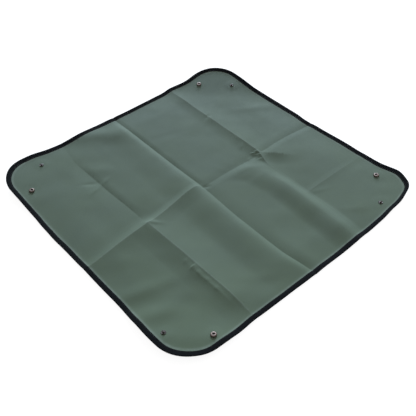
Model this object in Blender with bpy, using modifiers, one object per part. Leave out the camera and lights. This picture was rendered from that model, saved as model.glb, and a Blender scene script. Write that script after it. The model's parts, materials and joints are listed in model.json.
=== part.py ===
"""Folding repotting mat: a coated sheet with a bound edge. Its four sides fold up and its corners snap together.

The frame has its origin on the ground under the middle of the mat, with +Z up. All sizes are in metres.
Each corner of the sheet is two ears with a crease between them, along the corner's diagonal.
The ear with the stud hangs on one side wall, and the ear with the socket hangs on the stud ear.
"""
import bmesh
import bpy
from math import atan, cos, degrees, pi, radians, sin, sqrt, tan
from mathutils import Matrix, Vector

# The mat and its walls
mat_side = 0.680
corner_radius = 0.075
wall_height = 0.111
sheet_thickness = 0.0006
piece_gap = 0.0003
ear_nose = 0.004
sheet_seam_clearance = 0.0016
binding_seam_clearance = 0.0030
wall_row_length = 0.030

# How the sheet lies at rest
corner_tilt = radians(4.6)
curl_length = 0.085
curl_start_share = 1.5

# Creases left by packing
crease_height = 0.0024
crease_reach = 0.042
crease_shoulder = 0.009
crease_flip_length = 0.030
crease_falloff = 1.6
widest_cell = 0.032
narrowest_cell = 0.006

# The folded binding
binding_width = 0.012
tape_thickness = 0.0004
tape_gap = 0.0003
binding_step = 0.024
arc_steps = 6

# The snap fasteners. Their places are in the order of the turns: those of the front left lie nearest the edge
snaps_from_fold = (0.011, 0.011, 0.023, 0.011)
snaps_from_edge = (0.039, 0.039, 0.024, 0.039)
snap_gap = 0.0003
snap_steps = 20
merge_distance = 0.000003
socket_radius = 0.0063
socket_height = 0.0030
socket_floor = 0.0004
socket_lip = 0.0006
socket_rounding = 0.0008
spring_wire_radius = 0.0003
spring_opening = radians(50)
spring_points = 18
spring_lean_in = 0.0002
cap_radius = 0.0064
cap_height = 0.0013
cap_rounding = 0.0007
cap_side_share = 0.5
cap_dome_share = 0.8
rivet_radius = 0.0016
rivet_flare = 0.0007
rivet_flare_height = 0.0003
stud_radius = 0.0050
stud_base_height = 0.0009
stud_edge = 0.0003
stud_floor = 0.0003
nub_height = 0.0020
nub_head_radius = 0.0022
nub_neck_radius = 0.0019
nub_wall = 0.0004
nub_clearance = 0.0004
nub_shoulder_share = 0.75
nub_head_share = 0.5
nub_neck_share = 0.2
eyelet_radius = 0.0050
eyelet_height = 0.0006
eyelet_edge = 0.0002
eyelet_post_radius = 0.0008
eyelet_flare = 0.0004
eyelet_flare_height = 0.0003
eyelet_dimple_share = 0.5

# Where the creases lie, as shares of the mat's side from its middle
left_crease_share = -0.25
middle_crease_share = -0.018
right_crease_share = 0.25
right_crease_drift_share = -0.062
cross_crease_share = -0.010
short_crease_share = -0.245
short_crease_strength_share = 0.7
crease_line_shares = (-1, -0.55, -0.2, 0, 0.2, 0.55, 1)

# Worked out from the sizes above
half_side = mat_side / 2
fold_line = half_side - wall_height
tape_build = tape_gap + tape_thickness
corner_slope = tan(corner_tilt)
rim_slope = tape_build / (wall_height - binding_width)
wall_axis_height = crease_height + sheet_thickness + piece_gap
ear_spacing = 2 * snap_gap + socket_height + piece_gap + stud_base_height
ear_axis_drop = tape_build
hinge_shift = (sqrt(2) * (ear_spacing / 2 + sheet_thickness + ear_axis_drop)
               - ear_axis_drop - wall_axis_height * cos(corner_tilt))
wall_end = fold_line - hinge_shift
socket_bore = nub_head_radius + nub_clearance
rivet_hole = rivet_radius + snap_gap
eyelet_hole = eyelet_post_radius + snap_gap

wall_names = ("right", "front", "left", "back")
corner_names = ("back_right", "front_right", "front_left", "back_left")


def clear_scene():
    """Removes whatever the scene holds."""
    for old in list(bpy.data.objects):
        bpy.data.objects.remove(old, do_unlink=True)


def finish_material(name, colour, roughness, metallic):
    """A plain finish for one kind of piece."""
    material = bpy.data.materials.new(name)
    material.use_nodes = True
    shader = material.node_tree.nodes["Principled BSDF"]
    shader.inputs["Base Color"].default_value = (*colour, 1)
    shader.inputs["Roughness"].default_value = roughness
    shader.inputs["Metallic"].default_value = metallic
    material.diffuse_color = (*colour, 1)
    return material


def add_object(name, data, collection, material=None):
    """Puts one object in a collection."""
    thing = bpy.data.objects.new(name, data)
    collection.objects.link(thing)
    if material:
        data.materials.clear()
        data.materials.append(material)
    return thing


def turn_matrix(turn):
    """Turns the first corner and wall to another side of the mat, clockwise seen from above."""
    return Matrix.Rotation(-turn * pi / 2, 4, "Z")


def smooth(value):
    """Rises from 0 to 1 with level ends."""
    value = min(max(value, 0), 1)
    return value * value * (3 - 2 * value)


def ridge_share(away):
    """Height of a raised crease, as a share, away from its line by a share of its reach."""
    return max(1 - away, 0) ** crease_falloff


def valley_share(away):
    """Height beside a pressed crease, which lies on the ground along its line."""
    shoulder_share = crease_shoulder / crease_reach
    if away < shoulder_share:
        return away / shoulder_share
    return (max(1 - away, 0) / (1 - shoulder_share)) ** crease_falloff


def crease_share(away, raised):
    """Mixes both kinds of crease: raised is 1 for a ridge and 0 for a valley."""
    reach_share = abs(away) / crease_reach
    return raised * ridge_share(reach_share) + (1 - raised) * valley_share(reach_share)


def past(value, place):
    """Changes from 0 to 1 as value passes place."""
    return smooth((value - place) / crease_flip_length + 1 / 2)


def crease_level(x, y):
    """Height that the packing creases give the sheet at one place of its unbent plan."""
    left, middle, right = (mat_side * share for share in
                           (left_crease_share, middle_crease_share, right_crease_share))
    cross = mat_side * cross_crease_share
    back = past(y, cross)
    levels = [
        crease_share(x - left, 1 - back),
        crease_share(x - middle, 0),
        crease_share(x - right, back),
        crease_share(y - cross, past(x, left) * (1 - past(x, middle))),
        crease_share(y - mat_side * short_crease_share, 1) * short_crease_strength_share
        * past(x, right),
    ]
    return crease_height * max(levels)


def curl_share(away):
    """How far a wall's end has curled up, away from the corner's hinge line along the wall."""
    along = min(max(away / curl_length, 0), 1)
    bend = 2 - curl_start_share * curl_length / wall_height
    return (1 - along) ** 2 * (1 + bend * along)


def wall_slope(away):
    """Slope of a wall, from its fold line outwards, away from its nearer end."""
    return rim_slope + (corner_slope - rim_slope) * curl_share(away)


def underside(x, y):
    """Height of the sheet's underside over the ground, over the whole mat."""
    out_x, out_y = abs(x) - fold_line, abs(y) - fold_line
    if out_x <= 0 and out_y <= 0:
        return crease_level(x, y)
    if out_x > -hinge_shift and out_y > -hinge_shift:
        return corner_slope * (out_x + out_y + hinge_shift)
    outward, away = max(out_x, out_y), -hinge_shift - min(out_x, out_y)
    level = outward * wall_slope(away)
    return max(level, crease_level(x, y) + outward * rim_slope)


def drifted(x, y):
    """Moves a place of the unbent plan sideways, where the right crease runs askew."""
    crease = mat_side * right_crease_share
    middle = mat_side * middle_crease_share
    near = (x - middle) / (crease - middle) if x < crease else (wall_end - x) / (wall_end - crease)
    askew = smooth(-y / half_side) * mat_side * right_crease_drift_share
    return Vector((x + askew * min(max(near, 0), 1), y))


def grid_lines(low, high, creases):
    """Grid lines from low to high: close together at each crease, and nowhere far apart."""
    wanted = sorted(crease + share * crease_reach for crease in creases for share in crease_line_shares)
    lines = [low]
    for line in wanted:
        if line - lines[-1] >= narrowest_cell and high - line >= narrowest_cell:
            lines.append(line)
    lines.append(high)
    filled = [low]
    for line in lines[1:]:
        cells = max(int((line - filled[-1]) / widest_cell + 1 / 2), 1)
        start = filled[-1]
        filled += [start + (line - start) * step / cells for step in range(1, cells)] + [line]
    return filled


def solidify(piece, thickness, offset):
    """Gives a surface its thickness."""
    shell = piece.modifiers.new("thickness", "SOLIDIFY")
    shell.thickness = thickness
    shell.offset = offset
    shell.use_even_offset = True


def grid_object(name, columns, rows, place, collection, material):
    """An open grid, whose vertices go where place(column, row) says."""
    mesh = bmesh.new()
    bmesh.ops.create_grid(mesh, x_segments=columns, y_segments=rows, size=1)
    for vertex in mesh.verts:
        column = round((vertex.co.x + 1) / 2 * columns)
        row = round((vertex.co.y + 1) / 2 * rows)
        vertex.co = place(column, row)
    data = bpy.data.meshes.new(name)
    mesh.to_mesh(data)
    mesh.free()
    return add_object(name, data, collection, material)


def sheet_panel(name, x_lines, y_lines, collection, material):
    """One stretch of the sheet, between straight fold lines."""
    def place(column, row):
        x, y = x_lines[column], y_lines[row]
        flat = drifted(x, y)
        return Vector((flat.x, flat.y, underside(x, y)))

    panel = grid_object(name, len(x_lines) - 1, len(y_lines) - 1, place, collection, material)
    solidify(panel, sheet_thickness, 1)
    return panel


def long_creases():
    """Places of the creases that run from back to front."""
    return [mat_side * share for share in (left_crease_share, middle_crease_share, right_crease_share)]


def cross_creases():
    """Places of the creases that run from side to side."""
    return [mat_side * share for share in (cross_crease_share, short_crease_share)]


def make_base(collection, material):
    """The middle of the sheet, which lies on the ground and becomes the tray's floor."""
    reach = fold_line - piece_gap / 2
    return sheet_panel("base_sheet", grid_lines(-reach, reach, long_creases()),
                       grid_lines(-reach, reach, cross_creases()), collection, material)


def make_wall(turn, collection, material):
    """One side of the sheet, between its fold line and its bound edge."""
    inner = fold_line + piece_gap / 2
    outer = half_side - tape_build
    end = wall_end - piece_gap / 2
    rows = max(int((outer - inner) / wall_row_length + 1 / 2), 1)
    across = [inner + (outer - inner) * row / rows for row in range(rows + 1)]
    sign = 1 if turn in (0, 3) else -1
    across = sorted(sign * value for value in across)
    if turn in (0, 2):
        lines = across, grid_lines(-end, end, cross_creases())
    else:
        lines = grid_lines(-end, end, long_creases()), across
    return sheet_panel(wall_names[turn] + "_wall_sheet", *lines, collection, material)


def ear_level(x, y):
    """Height of an ear's underside at one place of the first corner."""
    return corner_slope * (x - fold_line + y - fold_line + hinge_shift)


def corner_arc(radius, first, last, steps):
    """Points of a corner's rounding in the first corner, from one angle to another."""
    centre = half_side - corner_radius
    angles = [first + (last - first) * step / steps for step in range(steps + 1)]
    return [Vector((centre + radius * cos(angle), centre + radius * sin(angle))) for angle in angles]


def mirrored(point):
    """The same place on the other side of the first corner's diagonal."""
    return Vector((point.y, point.x, *point[2:]))


def ear_outline(clearance):
    """Outline of the stud ear in the first corner, held back from its wall by a clearance."""
    radius = corner_radius - tape_build
    low = wall_end + piece_gap / 2 + clearance
    nose = fold_line + ear_nose
    crease_gap = piece_gap / sqrt(2)
    turn_in = pi / 4 - piece_gap / 2 / radius
    return [Vector((nose, low)), Vector((half_side - tape_build, low)),
            *corner_arc(radius, 0, turn_in, arc_steps), Vector((nose, nose - crease_gap))]


def snap_place(turn):
    """Where a corner's stud lies, in the first corner's directions."""
    return Vector((half_side - snaps_from_edge[turn], fold_line + snaps_from_fold[turn]))


def add_spline(curve, points, closed=True):
    """Adds straight stretches through points to a curve."""
    spline = curve.splines.new("POLY")
    spline.points.add(len(points) - 1)
    for knot, point in zip(spline.points, points):
        knot.co = (*point, *([0] * (3 - len(point))), 1)
    spline.use_cyclic_u = closed


def circle_points(centre, radius, count):
    """Points around a circle."""
    return [centre + radius * Vector((cos(2 * pi * step / count), sin(2 * pi * step / count)))
            for step in range(count)]


def curve_to_mesh(thing, name, collection, material):
    """Changes a curve object into a closed mesh object in the same place."""
    bpy.context.view_layer.update()
    evaluated = thing.evaluated_get(bpy.context.evaluated_depsgraph_get())
    data = bpy.data.meshes.new_from_object(evaluated)
    matrix = thing.matrix_world.copy()
    bpy.data.objects.remove(thing, do_unlink=True)
    mesh = bmesh.new()
    mesh.from_mesh(data)
    bmesh.ops.remove_doubles(mesh, verts=mesh.verts, dist=merge_distance)
    bmesh.ops.recalc_face_normals(mesh, faces=mesh.faces)
    mesh.to_mesh(data)
    mesh.free()
    data.name = name
    solid = add_object(name, data, collection, material)
    solid.matrix_world = matrix
    return solid


def make_ear(turn, kind, hole, collection, material):
    """Half of a corner of the sheet, with the hole for its snap, tilted as it lies at rest."""
    outline = ear_outline(sheet_seam_clearance if kind == "socket" else 0)
    centre = snap_place(turn)
    if kind == "socket":
        outline = [mirrored(point) for point in reversed(outline)]
        centre = mirrored(centre)
    curve = bpy.data.curves.new("ear", "CURVE")
    curve.dimensions = "2D"
    curve.fill_mode = "BOTH"
    curve.extrude = sheet_thickness / 2
    add_spline(curve, outline)
    add_spline(curve, circle_points(centre, hole, snap_steps))
    name = f"{corner_names[turn]}_{kind}_ear"
    ear = curve_to_mesh(add_object(name, curve, collection), name, collection, material)
    for vertex in ear.data.vertices:
        vertex.co.z += ear_level(vertex.co.x, vertex.co.y) + sheet_thickness / 2
    ear.matrix_world = turn_matrix(turn)
    return ear


def binding_strip(name, stations, settle, collection, material):
    """A tape folded around the sheet's edge, through stations of a place and its way inwards."""
    low = -tape_gap - tape_thickness / 2
    high = sheet_thickness + tape_gap + tape_thickness / 2
    section = ((binding_width, low), (tape_thickness / 2, low),
               (tape_thickness / 2, high), (binding_width, high))

    def place(column, row):
        (point, inward), (inset, rise) = stations[column], section[row]
        return settle(point + inward * inset, rise)

    strip = grid_object(name, len(stations) - 1, len(section) - 1, place, collection, material)
    solidify(strip, tape_thickness, 0)
    return strip


def make_wall_binding(turn, collection, material):
    """The binding along one wall."""
    end = wall_end - piece_gap / 2
    matrix = turn_matrix(turn)
    places = grid_lines(-end, end, cross_creases() if turn in (0, 2) else long_creases())
    if turn in (2, 3):
        places = sorted(-place for place in places)
    stations = [(Vector((half_side, place)), Vector((-1, 0))) for place in places]

    def settle(flat, rise):
        turned = matrix @ flat.to_3d()
        plan = drifted(turned.x, turned.y)
        return Vector((plan.x, plan.y, underside(turned.x, turned.y) + rise))

    return binding_strip(wall_names[turn] + "_wall_binding", stations, settle, collection, material)


def make_ear_binding(turn, kind, collection, material):
    """The binding around one half of a corner."""
    low = wall_end + piece_gap / 2
    if kind == "socket":
        low += binding_seam_clearance
    inner_radius = corner_radius - binding_width
    turn_in = pi / 4 - piece_gap / 2 / inner_radius
    centre = half_side - corner_radius
    straight = max(int((centre - low) / binding_step + 1 / 2), 1)
    stations = [(Vector((half_side, low + (centre - low) * step / straight)), Vector((-1, 0)))
                for step in range(straight)]
    for point in corner_arc(corner_radius, 0, turn_in, arc_steps):
        stations.append((point, (Vector((centre, centre)) - point).normalized()))
    if kind == "socket":
        stations = [(mirrored(point), mirrored(inward)) for point, inward in reversed(stations)]

    def settle(flat, rise):
        return Vector((flat.x, flat.y, ear_level(flat.x, flat.y) + rise))

    strip = binding_strip(f"{corner_names[turn]}_{kind}_ear_binding", stations, settle,
                          collection, material)
    strip.matrix_world = turn_matrix(turn)
    return strip


def turned_piece(name, profile, matrix, collection, material):
    """A turned shape from a profile of radius and height, top to bottom down its outer side."""
    closed = profile[0][0] > 0
    mesh = bmesh.new()
    corners = [mesh.verts.new((radius, 0, height)) for radius, height in profile]
    for first, second in zip(corners, corners[1:]):
        mesh.edges.new((first, second))
    if closed:
        mesh.edges.new((corners[-1], corners[0]))
    data = bpy.data.meshes.new(name)
    mesh.to_mesh(data)
    mesh.free()
    piece = add_object(name, data, collection, material)
    screw = piece.modifiers.new("turn", "SCREW")
    screw.axis = "Z"
    screw.steps = screw.render_steps = snap_steps
    screw.use_merge_vertices = True
    screw.merge_threshold = merge_distance
    screw.use_smooth_shade = False
    piece.matrix_world = matrix
    return piece


def snap_matrix(turn, kind):
    """Where a snap sits: on the ear's underside, square to the ear."""
    centre = snap_place(turn) if kind == "stud" else mirrored(snap_place(turn))
    level = ear_level(centre.x, centre.y)
    across = Vector((1, 0, corner_slope)).normalized()
    normal = Vector((-corner_slope, -corner_slope, 1)).normalized()
    along = normal.cross(across)
    axes = Matrix((across, along, normal)).transposed().to_4x4()
    return turn_matrix(turn) @ Matrix.Translation((centre.x, centre.y, level)) @ axes


def socket_profile():
    """Ring with a sprung bore: lip, groove for the spring, and a pierced floor."""
    bottom = sheet_thickness + snap_gap
    top = bottom + socket_height
    groove_radius = socket_bore - spring_lean_in + 2 * spring_wire_radius + snap_gap
    groove_top = top - socket_lip
    floor_top = bottom + socket_floor
    edge = socket_rounding
    return [(socket_bore + edge / 2, top), (socket_radius - edge, top),
            (socket_radius - edge / 4, top - edge / 4), (socket_radius, top - edge),
            (socket_radius, bottom), (rivet_hole, bottom), (rivet_hole, floor_top),
            (groove_radius, floor_top), (groove_radius, groove_top),
            (socket_bore, groove_top), (socket_bore, top - edge / 2)]


def cap_profile():
    """Domed cap under the sheet, with the rivet that passes through it and flares in the socket."""
    top = -snap_gap
    seat = sheet_thickness + snap_gap + socket_floor + snap_gap
    flare_radius = rivet_radius + rivet_flare
    flare_top = seat + rivet_flare_height
    return [(0, flare_top), (flare_radius, flare_top), (flare_radius, seat),
            (rivet_radius, seat), (rivet_radius, top), (cap_radius, top),
            (cap_radius, top - cap_height * cap_side_share),
            (cap_radius - cap_rounding, top - cap_height * cap_dome_share),
            (cap_radius / 2, top - cap_height), (0, top - cap_height)]


def stud_profile():
    """Stud with its round nub, hollow inside for the flared end of the eyelet's post."""
    bottom = sheet_thickness + snap_gap
    base_top = bottom + stud_base_height
    top = base_top + nub_height
    chamber = nub_neck_radius - nub_wall
    floor_top = bottom + stud_floor
    edge = stud_edge
    return [(0, top), (nub_head_radius / 2, top),
            (nub_head_radius, base_top + nub_height * nub_shoulder_share),
            (nub_head_radius, base_top + nub_height * nub_head_share),
            (nub_neck_radius, base_top + nub_height * nub_neck_share),
            (nub_neck_radius + edge, base_top), (stud_radius - edge, base_top),
            (stud_radius, base_top - edge), (stud_radius, bottom), (eyelet_hole, bottom),
            (eyelet_hole, floor_top), (chamber, floor_top), (chamber, top - nub_wall),
            (0, top - nub_wall)]


def eyelet_profile():
    """Eyelet under the sheet, dished, with a post through the sheet that flares in the stud."""
    top = -snap_gap
    bottom = top - eyelet_height
    seat = sheet_thickness + snap_gap + stud_floor + snap_gap
    flare_radius = eyelet_post_radius + eyelet_flare
    flare_top = seat + eyelet_flare_height
    dimple = eyelet_radius * eyelet_dimple_share
    edge = eyelet_edge
    return [(0, flare_top), (flare_radius, flare_top), (flare_radius, seat),
            (eyelet_post_radius, seat), (eyelet_post_radius, top), (eyelet_radius - edge, top),
            (eyelet_radius, top - edge), (eyelet_radius - edge, bottom), (dimple, bottom),
            (dimple - edge, bottom + edge), (0, bottom + edge)]


def make_spring(turn, matrix, collection, material):
    """Open ring of wire in the socket's groove, which grips the stud's nub."""
    radius = socket_bore - spring_lean_in + spring_wire_radius
    height = sheet_thickness + socket_height - socket_lip - spring_wire_radius
    sweep = 2 * pi - spring_opening
    points = []
    for step in range(spring_points):
        angle = spring_opening / 2 + sweep * step / (spring_points - 1)
        points.append((radius * cos(angle), radius * sin(angle), height))
    curve = bpy.data.curves.new("spring", "CURVE")
    curve.dimensions = "3D"
    curve.bevel_depth = spring_wire_radius
    curve.bevel_resolution = 1
    curve.use_fill_caps = True
    add_spline(curve, points, closed=False)
    name = corner_names[turn] + "_socket_spring"
    wire = add_object(name, curve, collection)
    wire.matrix_world = matrix
    return curve_to_mesh(wire, name, collection, material)


def make_snaps(turn, collection, metal, steel):
    """The stud with its eyelet, and the socket with its cap and spring, of one corner."""
    stud_place, socket_place = snap_matrix(turn, "stud"), snap_matrix(turn, "socket")
    name = corner_names[turn]
    studs = [turned_piece(name + "_stud", stud_profile(), stud_place, collection, metal),
             turned_piece(name + "_stud_eyelet", eyelet_profile(), stud_place, collection, metal)]
    sockets = [turned_piece(name + "_socket", socket_profile(), socket_place, collection, metal),
               turned_piece(name + "_socket_cap", cap_profile(), socket_place, collection, metal),
               make_spring(turn, socket_place, collection, steel)]
    return studs, sockets


def hinge_empty(name, point, axis, turn, collection):
    """An empty on a fold's axis, with its X along the axis."""
    empty = add_object(name, None, collection)
    empty.empty_display_size = binding_width
    matrix = Matrix.Translation(point) @ axis.to_track_quat("X", "Z").to_matrix().to_4x4()
    empty.matrix_world = turn_matrix(turn) @ matrix
    return empty


def fold_axes():
    """Point and axis of the wall's fold, the stud ear's fold and the diagonal fold, in the first corner."""
    wall_point = Vector((fold_line, 0, wall_axis_height))
    ear_axis = -Vector((1, 0, corner_slope)).normalized()
    normal = Vector((-corner_slope, -corner_slope, 1)).normalized()
    ear_point = Vector((fold_line, wall_end, 0)) - normal * ear_axis_drop
    crease_axis = Vector((1, 1, 2 * corner_slope)).normalized()
    level = ear_level(fold_line, fold_line)
    crease_point = Vector((fold_line, fold_line, level)) + normal * (sheet_thickness + ear_spacing / 2)
    return (wall_point, Vector((0, -1, 0))), (ear_point, ear_axis), (crease_point, crease_axis)


def hang(pieces, empty):
    """Makes pieces follow an empty, without moving them."""
    bpy.context.view_layer.update()
    for piece in pieces:
        matrix = piece.matrix_world.copy()
        piece.parent = empty
        piece.matrix_parent_inverse = empty.matrix_world.inverted()
        piece.matrix_world = matrix


def print_motion():
    """Prints the folds' places, axes and travel, for whoever writes them down elsewhere."""
    wall_travel = pi / 2 - corner_tilt
    ear_travel = pi / 4 + atan(sin(corner_tilt))
    print("wall travel", round(degrees(wall_travel), 4), "stud ear", round(degrees(ear_travel), 4))
    for turn in range(4):
        matrix = turn_matrix(turn)
        for kind, (point, axis) in zip(("wall", "stud_ear", "socket_ear"), fold_axes()):
            at = matrix @ point
            along = matrix.to_3x3() @ axis
            print(kind, turn, [round(v, 7) for v in at], [round(v, 7) for v in along])


def build():
    """Makes every piece of the mat."""
    clear_scene()
    collection = bpy.data.collections.new("repotting_mat")
    bpy.context.scene.collection.children.link(collection)
    cloth = finish_material("coated_sheet", (0.093, 0.125, 0.103), 0.5, 0)
    tape = finish_material("binding_tape", (0.010, 0.011, 0.012), 0.8, 0)
    metal = finish_material("snap_metal", (0.30, 0.20, 0.15), 0.35, 1)
    steel = finish_material("spring_steel", (0.45, 0.45, 0.45), 0.3, 1)
    make_base(collection, cloth)
    wall_fold, ear_fold, crease_fold = fold_axes()
    for turn in range(4):
        wall = [make_wall(turn, collection, cloth), make_wall_binding(turn, collection, tape)]
        stud_ear = [make_ear(turn, "stud", eyelet_hole, collection, cloth),
                    make_ear_binding(turn, "stud", collection, tape)]
        socket_ear = [make_ear(turn, "socket", rivet_hole, collection, cloth),
                      make_ear_binding(turn, "socket", collection, tape)]
        studs, sockets = make_snaps(turn, collection, metal, steel)
        wall_hinge = hinge_empty(wall_names[turn] + "_wall_fold", *wall_fold, turn, collection)
        ear_hinge = hinge_empty(corner_names[turn] + "_stud_ear_fold", *ear_fold, turn, collection)
        crease_hinge = hinge_empty(corner_names[turn] + "_crease", *crease_fold, turn, collection)
        hang(wall + [ear_hinge], wall_hinge)
        hang(stud_ear + studs + [crease_hinge], ear_hinge)
        hang(socket_ear + sockets, crease_hinge)
    print_motion()


build()
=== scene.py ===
"""Looks of the folding repotting mat: creased coated cloth, a bound and stitched edge, and snaps.

All sizes are in metres, in the solids' frame: the origin is on the ground under the middle, with +Z up.
Turn 0 is the wall at +X with the corner at +X and +Y, and each next turn is a quarter turn clockwise.
A plan place is a place seen from above, and sheet_level gives the sheet's height over it.
"""
import json
from math import cos, pi, radians, sin

import bmesh
import bpy
import numpy as np
from mathutils import Matrix, Vector


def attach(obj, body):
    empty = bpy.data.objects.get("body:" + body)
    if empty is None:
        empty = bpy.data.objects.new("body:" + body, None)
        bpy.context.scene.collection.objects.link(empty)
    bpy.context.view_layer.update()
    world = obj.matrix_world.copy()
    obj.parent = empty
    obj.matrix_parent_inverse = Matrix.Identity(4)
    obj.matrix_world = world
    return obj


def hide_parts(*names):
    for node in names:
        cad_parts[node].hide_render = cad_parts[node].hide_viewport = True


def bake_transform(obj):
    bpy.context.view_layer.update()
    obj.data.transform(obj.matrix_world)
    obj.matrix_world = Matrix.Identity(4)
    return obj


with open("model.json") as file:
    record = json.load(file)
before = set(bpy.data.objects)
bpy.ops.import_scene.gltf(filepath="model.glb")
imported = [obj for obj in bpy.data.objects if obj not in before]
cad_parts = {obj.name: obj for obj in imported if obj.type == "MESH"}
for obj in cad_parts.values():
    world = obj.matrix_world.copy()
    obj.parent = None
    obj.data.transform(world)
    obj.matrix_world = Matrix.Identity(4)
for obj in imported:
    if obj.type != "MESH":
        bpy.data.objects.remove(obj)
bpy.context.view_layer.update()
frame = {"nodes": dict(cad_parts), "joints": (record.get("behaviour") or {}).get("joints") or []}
joints = {joint["name"]: joint for joint in frame["joints"]}

# The mat, read from the solids where they give it
half_side = 0.340
fold_line = joints["right_wall_fold"]["pos_m"][0]
hinge_shift = fold_line - joints["back_right_stud_ear_fold"]["pos_m"][1]
stud_ear_axis = joints["back_right_stud_ear_fold"]["axis"]
corner_slope = stud_ear_axis[2] / stud_ear_axis[0]
corner_radius = 0.075
sheet_thickness = 0.0006
wall_height = half_side - fold_line
wall_end = fold_line - hinge_shift
curl_length = 0.085
curl_start_share = 1.5
rim_rise = 0.0007
rim_curl = 0.0027
rim_curl_reach = 0.020
drift_reach = 0.040
ground_clearance = 0.0012
clearance_blend = 0.0014
corner_droop = 0.0034
droop_start = 0.568
droop_reach = 0.070
least_level = 0.0001
least_blend = 0.0004
panel_rise = 0.0022
rim_reach = 0.075
corner_still = 0.145
corner_reach = 0.110
broad_hill = 0.0009
broad_length = 0.080
small_hill = 0.00032
small_length = 0.030
broad_seed = 3
small_seed = 5
noise_cells = 64
# Painted highlights: their width, the crease height that sets their strength, and their greatest share on a
# crease
highlight_reach = 0.0016
highlight_full_rise = 0.0026
highlight_most = 0.4

# The binding and its stitches
binding_width = 0.0115
sheet_inset = 0.0008
stitch_inset = 0.0017
stitch_pitch = 0.0042
stitch_length = 0.0030
stitch_seat = 0.00052
thread_radius = 0.00028
thread_sides = 6
tape_wave_share = 0.05
tape_wave_length = 0.045
tape_wave_seed = 11
tape_sharp = radians(50)

# The tape's section: distance from its inner edge, then from its outer edge, and height over the sheet
tape_inner_part = ((0, 0.00020), (0.0002, 0.00042), (0.0009, 0.00058), (stitch_inset, 0.00046),
                   (0.0028, 0.00066), (0.0050, 0.00086))
tape_outer_part = ((0.0045, 0.00094), (0.0022, 0.00086), (0.0009, 0.00055), (0.00015, 0.00010))
tape_gap = 0.00004
tape_fold = 0.0007
tape_fold_start = 0.0012

# A stitch by its stations: shares of half its length, and of the thread's radius how far sunk and how thick
stitch_stations = (-1, -0.7, 0, 0.7, 1)
stitch_sunk = (1.8, 0.5, 0.2, 0.5, 1.8)
stitch_thick = (0.5, 1, 1, 1, 0.5)

# The snaps
snap_calm = 0.018
nose_calm = 0.034
snap_steps = 48
snap_gap = 0.0003
socket_radius = 0.0063
socket_bore = 0.0026
bore_edge = 0.0003
socket_height = 0.0030
socket_floor = 0.0004
socket_lip = 0.0006
socket_crown_inset = 0.0016
socket_side_inset = 0.0004
socket_side_drop = 0.0007
socket_foot = 0.0008
socket_rounding = 0.00035
groove_radius = 0.0033
cap_radius = 0.0064
cap_height = 0.0013
rivet_radius = 0.0016
rivet_flare = 0.0007
cap_edge_share = 0.4
cap_dome_share = 0.8
cap_dome_rise_share = 0.12
cap_flat_share = 0.4
cap_rounding = 0.0003
stud_radius = 0.0050
stud_base_height = 0.0009
stud_floor = 0.0003
nub_height = 0.0020
nub_head_radius = 0.0022
nub_neck_radius = 0.0019
nub_chamber = 0.0015
nub_wall = 0.0004
nub_top_share = 0.55
nub_shoulder_share = 0.3
nub_bulge_share = 0.45
nub_waist_share = 0.2
stud_bead = 0.00025
stud_groove_share = 0.68
stud_ridge_shares = 0.8, 0.93
stud_edge_share = 0.4
stud_rounding = 0.0003
eyelet_radius = 0.0050
eyelet_height = 0.0006
eyelet_post_radius = 0.0008
eyelet_flare = 0.0004
eyelet_edge = 0.0001
eyelet_dish = 0.0002
eyelet_ring_shares = 0.85, 0.5
eyelet_dish_share = 0.42
eyelet_rounding = 0.00015
flare_height = 0.0003
hole_gap = 0.0003
spring_wire_radius = 0.0003
spring_ring_radius = 0.0027
spring_opening = radians(50)
spring_drop_share = 1.5
corner_chords = 4
rounding_limit = 2.1
snap_sharp = radians(40)
spring_points = 40
wire_sides = 10

# Bends of the sheet where the tray folds
wall_bend = 0.004
ear_bend = 0.006
crease_bend = 0.005
softening = 0.014
softening_rings = ((0, 1), (1, 6), (2, 8))

# The grid
base_cell = 0.0040
bend_cell = 0.0010
crease_cells = 8
crease_offsets = (0.0007, 0.0015, 0.0027, 0.0044, 0.0068, 0.0100, 0.0140)
tightest_cell = 0.0006
crumple_cell = 0.0015
crumple_across = 0.140, 0.176
crumple_along = -0.022, 0.032
slope_step = 0.0006
merge_distance = 0.000002

# Names, in the order of the turns
wall_names = ("right", "front", "left", "back")
corner_names = ("back_right", "front_right", "front_left", "back_left")

# Packing creases. A path is (place along, where it runs), and a rise is (place along, height): above 0 the
# crease stands up as a ridge, and below 0 it is pressed down. Reaches are how far its flanks go to the low
# side and the high side, and falloffs are how the flanks drop: 1 is straight, and more is ever flatter. One
# number stands for a table that stays the same, and beyond its ends a table keeps its last value.
left_path = ((-0.34, -0.167), (-0.25, -0.165), (-0.15, -0.1665), (0, -0.170), (0.157, -0.174),
             (0.251, -0.176), (0.34, -0.164))
middle_path = ((-0.34, -0.006), (-0.25, -0.0150), (-0.138, -0.0150), (0, -0.0095), (0.15, -0.0110),
               (0.34, -0.0118))
right_path = ((-0.34, 0.146), (-0.237, 0.152), (-0.164, 0.154), (-0.05, 0.153), (0.01, 0.166), (0.18, 0.166),
              (0.34, 0.168))
cross_path = ((-0.34, -0.027), (-0.184, -0.014), (-0.024, 0.0050), (0.0, -0.005), (0.056, -0.004),
              (0.142, -0.007), (0.236, -0.004), (0.34, -0.008))
short_path = -0.170
left_rise = ((-0.34, 0.0020), (-0.27, 0.0054), (-0.05, 0.0054), (0.02, -0.0016), (0.12, -0.0020),
             (0.2, -0.0018), (0.26, -0.0006), (0.34, -0.0004))
left_reaches = ((-0.05, 0.048), (0.05, 0.036)), ((-0.03, 0.075), (0.05, 0.018))
middle_rise = ((-0.34, -0.0010), (-0.3, -0.0016), (-0.1, -0.0014), (0.1, -0.0016), (0.28, -0.0016),
               (0.34, -0.0010))
middle_reaches = 0.014, ((-0.34, 0.026), (-0.22, 0.028), (-0.17, 0.040), (-0.05, 0.030), (0.02, 0.014),
                         (0.34, 0.012))
right_rise = ((-0.34, 0.0001), (-0.28, 0.0002), (-0.06, 0.0002), (0.01, 0.0040), (0.05, 0.0046),
              (0.09, 0.0038), (0.28, 0.0038), (0.34, 0.0016))
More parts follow.
